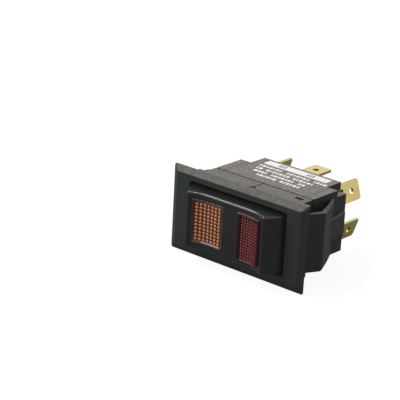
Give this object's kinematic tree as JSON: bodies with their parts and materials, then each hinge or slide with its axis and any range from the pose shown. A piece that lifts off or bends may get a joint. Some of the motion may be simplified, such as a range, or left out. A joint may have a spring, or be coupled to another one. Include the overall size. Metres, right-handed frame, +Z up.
{
  "type": "panel rocker switch",
  "caption": "Double-pole centre-off rocker switch with two coloured lenses; snaps into a panel cut-out and takes quick-connect receptacles.",
  "frame": {"origin": "middle of the panel opening, on the back face of the bezel flange", "axes": "+X along the bezel's length, +Y back from the panel towards the tabs, +Z up"},
  "size_m": [0.05, 0.0469, 0.0266],
  "materials": {
    "housing_plastic": "fine matt moulded grain",
    "rocker_plastic": "satin",
    "amber_lens": "prismatic, clear",
    "red_lens": "prismatic, clear",
    "brass_tab": "bright rolled",
    "contact_copper": "rolled",
    "contact_silver": "bright",
    "spring_steel": "drawn",
    "natural_nylon": "moulded",
    "lamp_glass": "clear"
  },
  "bodies": {
    "body": {"bezel_frame": "housing_plastic", "housing": "housing_plastic", "terminal_base": "housing_plastic", "terminal_upper_centre": "brass_tab", "terminal_lower_centre": "brass_tab", "terminal_upper_right": "brass_tab", "fixed_contact_upper_right": "contact_silver", "lamp_strip_upper_right": "contact_copper", "terminal_upper_left": "brass_tab", "fixed_contact_upper_left": "contact_silver", "lamp_strip_upper_left": "contact_copper", "terminal_lower_right": "brass_tab", "fixed_contact_lower_right": "contact_silver", "lamp_strip_lower_right": "contact_copper", "terminal_lower_left": "brass_tab", "fixed_contact_lower_left": "contact_silver", "lamp_strip_lower_left": "contact_copper", "lamp_right": "lamp_glass", "lamp_socket_right": "natural_nylon", "lamp_left": "lamp_glass", "lamp_socket_left": "natural_nylon"},
    "rocker": {"rocker": "rocker_plastic", "amber_lens": "amber_lens", "red_lens": "red_lens", "plunger_spring_upper": "spring_steel", "plunger_spring_lower": "spring_steel"},
    "plunger_upper": {"plunger_upper": "natural_nylon"},
    "plunger_lower": {"plunger_lower": "natural_nylon"},
    "lever_upper": {"lever_upper": "contact_copper", "moving_contact_upper_right": "contact_silver", "moving_contact_upper_left": "contact_silver"},
    "lever_lower": {"lever_lower": "contact_copper", "moving_contact_lower_right": "contact_silver", "moving_contact_lower_left": "contact_silver"}
  },
  "joints": [
    {"name": "rocker_hinge", "type": "hinge", "parent": "body", "child": "rocker", "pos_m": [0, 0.005, 0], "axis": [0, 0, 1], "range_deg": [-9, 9]},
    {"name": "plunger_upper_slide", "type": "slide", "parent": "rocker", "child": "plunger_upper", "axis": [0, -1, 0], "range_m": [0, 0.0008], "stiffness_N_per_m": 300, "springref_m": -0.0005, "deforming": ["plunger_spring_upper"]},
    {"name": "lever_upper_tilt", "type": "hinge", "parent": "body", "child": "lever_upper", "pos_m": [0, 0.0169, 0.0052], "axis": [0, 0, 1], "range_deg": [-4.6, 4.6]},
    {"name": "plunger_lower_slide", "type": "slide", "parent": "rocker", "child": "plunger_lower", "axis": [0, -1, 0], "range_m": [0, 0.0008], "stiffness_N_per_m": 300, "springref_m": -0.0005, "deforming": ["plunger_spring_lower"]},
    {"name": "lever_lower_tilt", "type": "hinge", "parent": "body", "child": "lever_lower", "pos_m": [0, 0.0169, -0.0052], "axis": [0, 0, 1], "range_deg": [-4.6, 4.6]}
  ],
  "couplings": [
    {"joint": "lever_upper_tilt", "follows": "rocker_hinge", "ratio": -0.45512},
    {"joint": "lever_lower_tilt", "follows": "rocker_hinge", "ratio": -0.45512}
  ]
}
